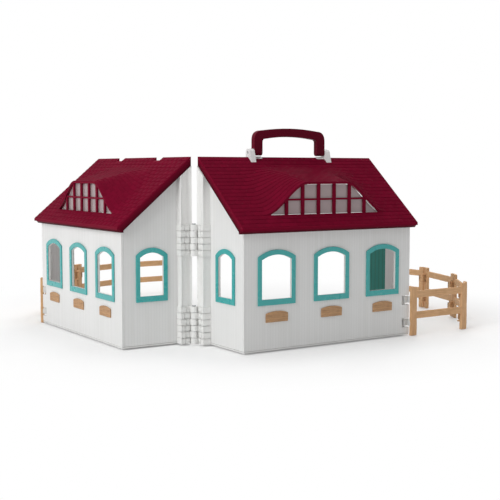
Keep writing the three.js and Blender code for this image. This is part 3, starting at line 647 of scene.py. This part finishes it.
def carvedPlaque(name, facts):
    half, foot = facts["width"] / 2, facts["foot"]
    across, up = facts["steps"]
    rows = [lambda x, v=v: foot + (archHeight(facts, x, 0) - foot) * v for v in np.linspace(0, 1, up)]
    piece = standingGrid(name, list(np.linspace(-half, half, across)), rows)
    (length, finer), (fineLength, fineFiner) = facts["stroke"], facts["fineStroke"]
    for corner in piece.data.vertices:
        x, _, z = corner.co / mm
        # deep strokes along the board, finer ones across them, and a worn border
        border = min(half - abs(x), z - foot, archHeight(facts, x, 0) - z)
        fine = uneven(x + 40, 7, z * fineFiner, fineLength)
        stroke = uneven(x, 0, z * finer, length) + facts["fineShare"] * fine
        y = facts["carving"] * (0.5 - stroke * min(border / facts["border"], 1))
        y *= facts["rimWorn"] if border < facts["rimWidth"] else 1
        x += facts["ragged"] * uneven(x, 3, z, facts["raggedLump"])
        z += facts["ragged"] * uneven(x, 9, z, facts["raggedLump"])
        corner.co = Vector((x, y, z)) * mm
    edit(piece)
    pull(0, facts["thickness"], 0)
    pickFaces(piece, lambda c, n: c.y > 0.75 * facts["thickness"] * mm)
    bpy.ops.transform.resize(value=(1, 0, 1), center_override=(0, facts["thickness"] * mm, 0))  # a flat back
    faceOutwards()
    roundEdges(piece, facts["edge"], 2, 50)
    rememberBoard(piece, "x")
    return piece


drawnPlaque = carvedPlaque("drawnPlaque", plaque)
for side in sides:
    for place, middle in windowMiddles.items():
        front = outside["longWall"] - plaque["gap"] - plaque["thickness"]
        piece = placed(drawnPlaque, f"{side}Plaque{place.title()}", shift(middle, front), side)
        dress(piece, plaqueTan, f"{side}_half", "tan_wood_look", f"{side}_plaque_{place}")
bpy.data.objects.remove(drawnPlaque)
print("plaques made")


# roofs: the frame's shell with soft edges, and a moulded sheet of shingles that lies on it

roof = {"pitch": 40.2, "ridge": 272.0, "start": 9.0, "end": 323.8, "eave": 116.5, "face": 97.0,
        "hoodStart": 18.0, "crown": 35.0, "spread": 110.0, "rise": 45.7, "border": 1.1, "edge": 0.5,
        "rim": 4.5, "rimDrop": 12.8, "lean": 2.3, "leanFrom": 14, "leanBlend": 12, "paneEdge": 0.15}
# glazing bars as the frame has them, and by how much each side is drawn in
bars = {"width": 7.5, "spacing": 28.1, "pairs": 3, "cross": 211.0, "crossWidth": 4.0, "layer": (92.8, 95.8),
        "foot": 188.0, "slimmer": 1.2, "crossSlimmer": 0.7, "reach": 0.8}
# profile: share of the way down a row and share of how proud it stands there; joint: in widths of the gap
shingles = {"upperRows": 16, "lowerRows": 3, "firstRow": 0.9, "tab": 13.1, "proud": 0.45, "clear": 0.12,
            "sunk": -0.3, "profile": ((0.0, 0.0), (0.45, 0.5), (0.93, 1.0), (0.985, 0.9), (1.0, 0.35)),
            "underside": (-0.7, -1.0), "gap": 0.3, "joint": (-1.2, -0.4, 0.4, 1.2), "jointReach": 0.45,
            "jointFrom": 0.2, "gapDepth": 0.09, "leastHeight": 0.05, "uneven": 0.03, "overhang": 0.4,
            "overhangBlend": 6, "seed": 11, "smoothAngle": 32, "notch": (54.4, 75.6), "notchDepth": 8.5,
            "openingDepth": 0.7}
fall = math.tan(math.radians(roof["pitch"]))
ridgeMiddle = (roof["start"] + roof["end"]) / 2


def hoodRise(s):
    share = min(max((abs(s) - roof["crown"]) / (roof["spread"] - roof["crown"]), 0), 1)
    return roof["rise"] * (1 - share * share * (3 - 2 * share))


def roofHeight(s, t, onHood=True):
    # height of the roof at s along the ridge from its middle and t out from it
    swell = max(t - roof["hoodStart"], 0) / (roof["face"] - roof["hoodStart"])
    return roof["ridge"] - fall * t + (hoodRise(s) * swell if onHood else 0)


def rowStations():
    # t, height above the roof, row, share of the way down it, on the hood or not, share of the overhang
    upper = np.linspace(shingles["firstRow"], roof["face"], shingles["upperRows"] + 1)
    lower = np.linspace(roof["face"], roof["eave"] - roof["border"], shingles["lowerRows"] + 1)
    stations = [(upper[0], shingles["sunk"], 0, 0.0, True, 0)]
    for row, (t0, t1) in enumerate(list(zip(upper[:-1], upper[1:])) + list(zip(lower[:-1], lower[1:]))):
        onHood, isLip = row < shingles["upperRows"], row == shingles["upperRows"] - 1
        for share, proud in shingles["profile"]:
            height = shingles["clear"] + shingles["proud"] * proud
            stations.append((t0 + (t1 - t0) * share, height, row, share, onHood, share if isLip else 0))
        if isLip:  # the last row of the hood hangs over its face, and is closed underneath
            edge, back = shingles["underside"]
            stations += [(t1, edge, row, 1.0, True, 1), (t1, back, row, 1.0, True, 0),
                         (t1, shingles["sunk"], row + 1, 0.0, False, 0)]
    stations.append((stations[-1][0], shingles["sunk"], stations[-1][2], 1.0, False, 0))
    return stations


def ridgeStations():
    # s of each column, and the half tab whose edge it is at, or None
    half = shingles["tab"] / 2
    reach = (roof["end"] - roof["start"]) / 2 - roof["border"]
    count = int(reach / half)
    columns = [(i * half + step * shingles["gap"], i) for i in range(-count, count + 1)
               for step in shingles["joint"]]
    columns += [(end, None) for end in (-reach, -reach, reach, reach)]
    return sorted(columns, key=lambda c: c[0])


def leanOut(t):
    # at the hinge the rake of the roof stands further out at the ridge than at the eave
    return roof["lean"] * (1 - max(t, 0) / roof["eave"])


def leanRake(piece, side):
    along = 0 if side == "right" else 1
    for corner, s, t, _ in placesOn(piece, side):
        if s < roof["start"] + roof["rim"]:
            corner.co[along] -= leanOut(t) * mm


def slimBars(piece, side):
    # the bars of the dormer are slimmer than those of the frame
    along = 0 if side == "right" else 1
    middles = [sign * bars["spacing"] * (i + 0.5) for i in range(bars["pairs"]) for sign in (-1, 1)]
    near, far = bars["layer"]
    for corner, s, t, z in placesOn(piece, side):
        if not near < t < far or z < bars["foot"]:
            continue
        s -= ridgeMiddle
        middle = min(middles, key=lambda m: abs(s - m))
        if abs(s - middle) < bars["width"] / 2 + bars["reach"]:
            corner.co[along] += math.copysign(bars["slimmer"], middle - s) * mm
        if abs(z - bars["cross"]) < bars["crossWidth"] / 2 + bars["reach"]:
            corner.co.z += math.copysign(bars["crossSlimmer"], bars["cross"] - z) * mm


def markRimShade(piece, side):
    # how much painted shade: the share of the way down from the plain slope to the lowest edge of the
    # turned-down rim
    mark = piece.data.attributes.new("rim", "FLOAT", "POINT")
    for i, (_, s, t, z) in enumerate(placesOn(piece, side)):
        depth = roofHeight(s - ridgeMiddle, t, False) - z
        mark.data[i].value = min(max(depth / roof["rimDrop"], 0), 1)


def shingleSheet(name):
    rows, columns = rowStations(), ridgeStations()
    piece = flatGrid(name, columns, rows)
    flat = np.zeros(len(piece.data.vertices) * 3, np.float32)
    piece.data.vertices.foreach_get("co", flat)
    flat = flat.reshape(-1, 3)
    columnOf = np.rint((flat[:, 0] + 1) / 2 * (len(columns) - 1)).astype(int)
    rowOf = np.rint((1 - flat[:, 1]) / 2 * (len(rows) - 1)).astype(int)  # row 0 is at the ridge
    chance = random.Random(shingles["seed"])
    chances = {}
    made, marks = np.zeros_like(flat), np.zeros_like(flat)
    leanStart = ridgeMiddle - roof["start"] - roof["leanFrom"]
    gapHalf = shingles["gap"] * shingles["jointReach"]
    probe = 0.05  # the slope is measured over this many mm
    for i in range(len(flat)):
        s, edgeNumber = columns[columnOf[i]]
        t, height, row, share, onHood, lip = rows[rowOf[i]]
        t += lip * shingles["overhang"] * min(hoodRise(s) / shingles["overhangBlend"], 1)
        tab = math.floor((s + (shingles["tab"] / 2 if row % 2 else 0)) / shingles["tab"])
        if (row, tab) not in chances:
            chances[(row, tab)] = (chance.random(), chance.uniform(-1, 1))
        tone, lift = chances[(row, tab)]
        isEdge = edgeNumber is not None and (edgeNumber + row) % 2 == 0
        inGap = isEdge and abs(s - edgeNumber * shingles["tab"] / 2) < gapHalf
        if height > 0:
            height += shingles["uneven"] * lift * share
            if inGap and share > shingles["jointFrom"]:
                height = max(height - shingles["gapDepth"], shingles["leastHeight"])
        if columnOf[i] in (0, len(columns) - 1):
            height = shingles["sunk"]
        z = roofHeight(s, t, onHood)
        slopeS = (roofHeight(s + probe, t, onHood) - z) / probe
        slopeT = (roofHeight(s, t - probe, onHood) - z) / probe  # towards +Y
        normal = Vector((-slopeS, -slopeT, 1)).normalized()
        nearRake = min(max((-s - leanStart) / roof["leanBlend"], 0), 1)
        made[i] = Vector((ridgeMiddle + s - nearRake * leanOut(t), -t, z)) + normal * height
        marks[i] = (tone, share, 0)
    piece.data.vertices.foreach_set("co", (made * mm).ravel())
    mark = piece.data.attributes.new("shingle", "FLOAT_VECTOR", "POINT")
    mark.data.foreach_set("vector", marks.ravel())
    piece.data.update()

    def isOpening(c, n):
        # the drop from the hood's edge to the slope is the dormer's opening
        s, t, z = c.x / mm - ridgeMiddle, -c.y / mm, c.z / mm
        onDrop = abs(t - roof["face"]) < shingles["openingDepth"] and n.y < -turnedTo
        top = roofHeight(s, roof["face"]) + shingles["underside"][1]
        return onDrop and abs(s) < roof["spread"] and z < top

    edit(piece)
    pickFaces(piece, isOpening)
    bpy.ops.mesh.delete(type="FACE")
    leaveEdit()
    bpy.ops.object.shade_smooth_by_angle(angle=math.radians(shingles["smoothAngle"]))
    return piece


def cutNotches(piece):
    # the ears of the handle drop into two notches of the left ridge when the house is closed
    edit(piece)
    (near, far), depth = shingles["notch"], shingles["notchDepth"]
    for s in (-far, -near, near, far):
        cutAcross(0, ridgeMiddle + s)
    cutAcross(1, -depth)
    pickFaces(piece, lambda c, n: c.y > -depth * mm and near < abs(c.x / mm - ridgeMiddle) < far)
    bpy.ops.mesh.delete(type="FACE")
    leaveEdit()


drawnSheet = shingleSheet("drawnSheet")
for side in sides:
    base = fromFrame(f"{side}_roof", roof["edge"], 2, 0.3)
    slimBars(base, side)
    leanRake(base, side)
    markRimShade(base, side)
    dress(base, roofRed, f"{side}_half", "roof_red", f"{side}_roof")
    sheet = copyOf(drawnSheet, f"{side}Shingles")
    if side == "left":
        cutNotches(sheet)
    dress(toHalf(sheet, side), shingleRed, f"{side}_half", "roof_red")
    dressNode(f"{side}_dormer_pane", paneSmoked, f"{side}_half", "smoked_pane", roof["paneEdge"], 1)
bpy.data.objects.remove(drawnSheet)
print("roofs made")


# handle, ears, doors and pins: the frame's own shapes, with their edges rounded

small = {"handleEdge": 2.2, "earEdge": 1.0, "doorEdge": 0.5, "pinEdge": 0.3}

dressNode("carrying_handle", handleRed, "handle", "roof_red", small["handleEdge"], 4)
for end in ("near", "far"):
    dressNode(f"handle_ear_{end}", earWhite, "right_half", "white_wall", small["earEdge"], 3)
    dressNode(f"handle_pin_{end}", pinSteel, "right_half", "steel_pin", small["pinEdge"])
for side in sides:
    dressNode(f"{side}_door", doorTeal, f"{side}_door", "door_teal", small["doorEdge"])
    for level in ("lower", "upper"):
        dressNode(f"{side}_door_pin_{level}", pinSteel, f"{side}_half", "steel_pin", small["pinEdge"])
        dressNode(f"{side}_clip_pin_{level}", plainWhite, f"{side}_half", "white_wall", small["pinEdge"])
for level in ("lower", "upper"):
    dressNode(f"{level}_hinge_pin", pinSteel, "right_half", "steel_pin", small["pinEdge"])
print("handle, doors and pins dressed")


# fence panels: hewn boards with their clips and pins, drawn once about the clip axis

fence = {"firstPost": 11.5, "spacing": 107.0, "out": -9.0, "post": (11.0, 5.0, 74.5), "rail": (3.6, 10.7),
         "rails": (31.0, 63.0), "clips": (20.0, 55.0), "clipHeight": 10.0, "clipRadius": (3.3, 2.0),
         "mouth": 50.0, "arm": 3.6, "pinRadius": 1.6, "pinOffset": 6.7, "ear": (6.0, 2.0), "earGap": 13.0,
         "edge": 0.75, "clipEdge": 0.3, "cut": 3.0, "endCut": 1, "hewn": 0.34, "lump": 4.5, "chip": 1.8,
         "chipShare": 0.4, "drawnOut": 0.32}
# each part's own place in the noise, so that no two have the same grain
seeds = {"posts": (31, 48), "rails": (83, 106), "clip": 140, "arm": 151, "link": 157, "ear": 163, "pin": 171}
turns = {"right": (0.5, 53, 18, 23), "left": (25, 23.6, 19.4, 21)}  # degrees from the panel before
clipPlace = (311.5, -101.0)  # the pin in the far corner of the wall


def box(name, low, high):
    low, high = Vector(low) * mm, Vector(high) * mm
    deselect()
    bpy.ops.mesh.primitive_cube_add(size=1, location=(low + high) / 2, scale=high - low)
    piece = bpy.context.object
    piece.name = name
    settle(piece)
    return piece


def hewnBoard(name, low, high, lengthwise, seed):
    # a board with rounded edges, cut into short lengths so that its faces and edges can waver
    piece = box(name, low, high)
    roundEdges(piece, fence["edge"])
    axis = "xyz".index(lengthwise)
    edit(piece)
    for direction in (axis, 2 - axis):  # along the board, then across its wide face
        count = round((high[direction] - low[direction]) / fence["cut"])
        for place in np.linspace(low[direction] + fence["endCut"], high[direction] - fence["endCut"], count):
            cutAcross(direction, place)
    leaveEdit()
    places, normals = cornersOf(piece)
    stretched = places.copy()
    stretched[:, axis] *= fence["drawnOut"]  # lumps three times as long as wide
    for i, (x, y, z) in enumerate(stretched):
        chips = fence["chipShare"] * uneven(x, y + seed, z, fence["chip"])
        places[i] += normals[i] * fence["hewn"] * (uneven(x + seed, y, z, fence["lump"]) + chips)
    placeCorners(piece, places)
    shadeAgain(piece)
    rememberBoard(piece, lengthwise, seed * mm)
    return piece


def plainPart(piece, seed):
    roundEdges(piece, fence["clipEdge"])
    rememberBoard(piece, "z", seed * mm)
    return piece


def clipRing(height):
    # a C about the clip axis: a tube with the sector of its mouth cut away
    outer, inner = fence["clipRadius"]
    deselect()
    bpy.ops.mesh.primitive_circle_add(vertices=48, radius=outer * mm,
        location=(0, 0, (height - fence["clipHeight"] / 2) * mm))
    piece = bpy.context.object
    piece.name = "clip"
    settle(piece)
    edit(piece)
    bpy.ops.mesh.extrude_edges_move()
    shrink = inner / outer
    bpy.ops.transform.resize(value=(shrink, shrink, 1), center_override=(0, 0, 0))
    mouth = math.cos(math.radians(fence["mouth"]))
    pickFaces(piece, lambda c, n: -c.x / math.hypot(c.x, c.y) > mouth)
    bpy.ops.mesh.delete(type="FACE")
    selectAll()
    pull(0, 0, fence["clipHeight"])
    faceOutwards()
    return piece


def joined(parts, name):
    deselect()
    for part in parts:
        part.select_set(True)
    bpy.context.view_layer.objects.active = parts[0]
    bpy.ops.object.join()
    parts[0].name = name
    return parts[0]


def fencePanel():
    # the panel, and apart from it the two clips at its start
    wide, thick, tall = fence["post"]
    thin, deep = fence["rail"]
    first, last, out = fence["firstPost"], fence["firstPost"] + fence["spacing"], fence["out"]
    parts, clips = [], []
    for x, seed in zip((first, last), seeds["posts"]):
        low, high = (x - wide / 2, out - thick / 2, 0), (x + wide / 2, out + thick / 2, tall)
        parts.append(hewnBoard("post", low, high, "z", seed))
    for z, seed in zip(fence["rails"], seeds["rails"]):
        low, high = (first, out - thin / 2, z - deep / 2), (last, out + thin / 2, z + deep / 2)
        parts.append(hewnBoard("rail", low, high, "x", seed))
    arm, edge, inside = fence["arm"] / 2, first - wide / 2, out + thick / 2
    armStart, armEnd = sum(fence["clipRadius"]) / 2, edge + fence["arm"]
    pinY = out + fence["pinOffset"]
    earWide, earThick = fence["ear"]
    for z in fence["clips"]:
        low, up = z - fence["clipHeight"] / 2, z + fence["clipHeight"] / 2
        clips.append(plainPart(clipRing(z), seeds["clip"]))
        clips.append(plainPart(box("arm", (armStart, -arm, low), (armEnd, arm, up)), seeds["arm"]))
        clips.append(plainPart(box("link", (edge, inside - arm, low), (armEnd, arm, up)), seeds["link"]))
        for sense in (-1, 1):
            middle = z + sense * (fence["earGap"] + earThick) / 2
            ear = box("ear", (last - earWide / 2, inside - arm, middle - earThick / 2),
                      (last + earWide / 2, pinY + earWide / 2, middle + earThick / 2))
            parts.append(plainPart(ear, seeds["ear"]))
        deselect()
        bpy.ops.mesh.primitive_cylinder_add(vertices=32, radius=fence["pinRadius"] * mm,
            depth=(fence["earGap"] + earThick) * mm,
            location=Vector((last, pinY, z)) * mm)
        pin = bpy.context.object
        settle(pin)
        parts.append(plainPart(pin, seeds["pin"]))
    return joined(parts, "drawnPanel"), joined(clips, "drawnClips")


drawnPanel, drawnClips = fencePanel()
nextClip = shift(fence["firstPost"] + fence["spacing"], fence["out"] + fence["pinOffset"])
for side in sides:
    place = shift(*clipPlace)
    for i, turn in enumerate(turns[side], 1):
        if i > 1:
            place = place @ nextClip
        place = place @ Matrix.Rotation(math.radians(turn), 4, "Z")
        node = f"fence_{side}_{i}"
        piece = placed(drawnPanel, f"fence{side.title()}{i}", place, side)
        dress(piece, fenceTan, node, "tan_wood_look", node)
        piece = placed(drawnClips, f"fence{side.title()}Clips{i}", place, side)
        # the clips on the wall are white, the others tan
        finish, slot = (plainWhite, "white_wall") if i == 1 else (fenceTan, "tan_wood_look")
        dress(piece, finish, node, slot)
bpy.data.objects.remove(drawnPanel)
bpy.data.objects.remove(drawnClips)
print("fences made")


# floor, light and camera

# near the toy the paper keeps its shadow; further off it is plain white to the camera
studio = {"floor": "#fafafa", "floorSize": 14, "floorDrop": 0.0006, "worldStrength": 0.28, "glow": 0.2,
          "shadowReach": (0.34, 0.62), "aim": (0, 0, 0.12)}
# place and size in metres, power, seen in gloss or not; the back lamp lights the rooms from their open sides
lamps = {"keyLamp": ((-2.4, -0.7, 1.5), 1.6, 36.0, True), "topLamp": ((0.0, 0.1, 2.6), 2.2, 27.0, True),
         "backLamp": ((2.2, 1.9, 1.5), 1.6, 42.0, False)}
photoCamera = {"place": (-701.614, -1226.982, 252.517), "heading": 33.036, "down": 4.639,
               "focalPixels": 984.59, "photoPixels": 500, "sensor": 36.0, "clip": (0.05, 30)}


def seenStraight(tree):
    # 1 for rays from the camera, and for those that gloss or glass sends on
    ray = addNode(tree, "ShaderNodeLightPath")
    seen = addNode(tree, "ShaderNodeMath",
        {0: ray.outputs["Is Camera Ray"], 1: ray.outputs["Is Glossy Ray"]}, operation="MAXIMUM")
    return addNode(tree, "ShaderNodeMath",
        {0: seen.outputs[0], 1: ray.outputs["Is Transmission Ray"]}, operation="MAXIMUM").outputs[0]


deselect()
bpy.ops.mesh.primitive_plane_add(size=studio["floorSize"], location=(0, 0, -studio["floorDrop"]))
ground = bpy.context.object
ground.name = "studioFloor"
material, tree, place = newMaterial("studio paper")
distance = addNode(tree, "ShaderNodeVectorMath", {0: place}, operation="LENGTH")
whiter = addNode(tree, "ShaderNodeMapRange",
    {"Value": distance.outputs["Value"], "From Min": studio["shadowReach"][0],
     "From Max": studio["shadowReach"][1], "To Min": studio["glow"], "To Max": 1.0},
    interpolation_type="SMOOTHSTEP")
share = addNode(tree, "ShaderNodeMath", {0: seenStraight(tree), 1: whiter.outputs[0]}, operation="MULTIPLY")
paper = addNode(tree, "ShaderNodeBsdfDiffuse", {"Color": linear(studio["floor"])})
glow = addNode(tree, "ShaderNodeEmission", {"Color": (1, 1, 1, 1), "Strength": 1.0})
mixed = addNode(tree, "ShaderNodeMixShader", {0: share.outputs[0], 1: paper.outputs[0], 2: glow.outputs[0]})
addNode(tree, "ShaderNodeOutputMaterial", {"Surface": mixed.outputs[0]})
ground.data.materials.append(material)

world = bpy.data.worlds.new("studio")
bpy.context.scene.world = world
world.use_nodes = True
tree = world.node_tree
tree.nodes.clear()
strength = addNode(tree, "ShaderNodeMapRange",
    {"Value": seenStraight(tree), "To Min": studio["worldStrength"], "To Max": 1.0})
sky = addNode(tree, "ShaderNodeBackground", {"Color": (1, 1, 1, 1), "Strength": strength.outputs[0]})
addNode(tree, "ShaderNodeOutputWorld", {"Surface": sky.outputs[0]})

for name, (place, size, power, isGlossy) in lamps.items():
    lamp = bpy.data.lights.new(name, "AREA")
    lamp.shape, lamp.size, lamp.energy = "DISK", size, power
    holder = bpy.data.objects.new(name, lamp)
    bpy.context.scene.collection.objects.link(holder)
    holder.location = place
    holder.visible_glossy = isGlossy
    holder.rotation_euler = (Vector(studio["aim"]) - Vector(place)).to_track_quat("-Z", "Y").to_euler()

cameraData = bpy.data.cameras.new("photoCamera")
camera = bpy.data.objects.new("photoCamera", cameraData)
bpy.context.scene.collection.objects.link(camera)
camera.location = hinge + Vector(photoCamera["place"]) * mm
camera.rotation_euler = (math.radians(90 - photoCamera["down"]), 0, math.radians(-photoCamera["heading"]))
cameraData.sensor_width = photoCamera["sensor"]
cameraData.lens = photoCamera["sensor"] * photoCamera["focalPixels"] / photoCamera["photoPixels"]
cameraData.clip_start, cameraData.clip_end = photoCamera["clip"]
bpy.context.scene.camera = camera
bpy.context.scene.view_settings.view_transform = "Standard"
print("studio set")
